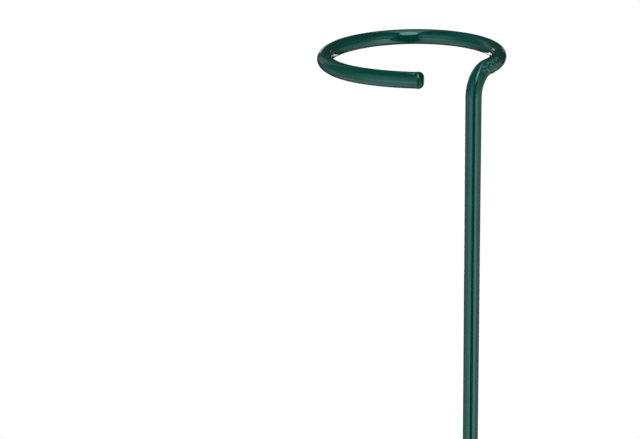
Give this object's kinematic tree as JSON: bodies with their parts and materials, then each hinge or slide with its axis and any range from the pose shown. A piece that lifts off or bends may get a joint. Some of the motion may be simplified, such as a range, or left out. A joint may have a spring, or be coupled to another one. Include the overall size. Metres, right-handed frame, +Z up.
{
  "type": "plant support ring stake",
  "caption": "Coated steel wire stake with a straight leg, a tight elbow and an open ring at the top that holds one plant stem upright.",
  "frame": {"origin": "tip of the leg's ground end, on the leg's axis", "axes": "+Z up along the leg, +X the way the elbow turns the wire, +Y from the leg's plane to the middle of the ring"},
  "size_m": [0.072, 0.0721, 0.9001],
  "materials": {
    "steel": "drawn wire, bare",
    "green_coating": "gloss, deep green",
    "green_cap": "gloss, deep green"
  },
  "bodies": {
    "root": {"steel_core": "steel", "plastic_coating": "green_coating", "ring_end_cap": "green_cap", "ground_end_cap": "green_cap"}
  },
  "joints": []
}
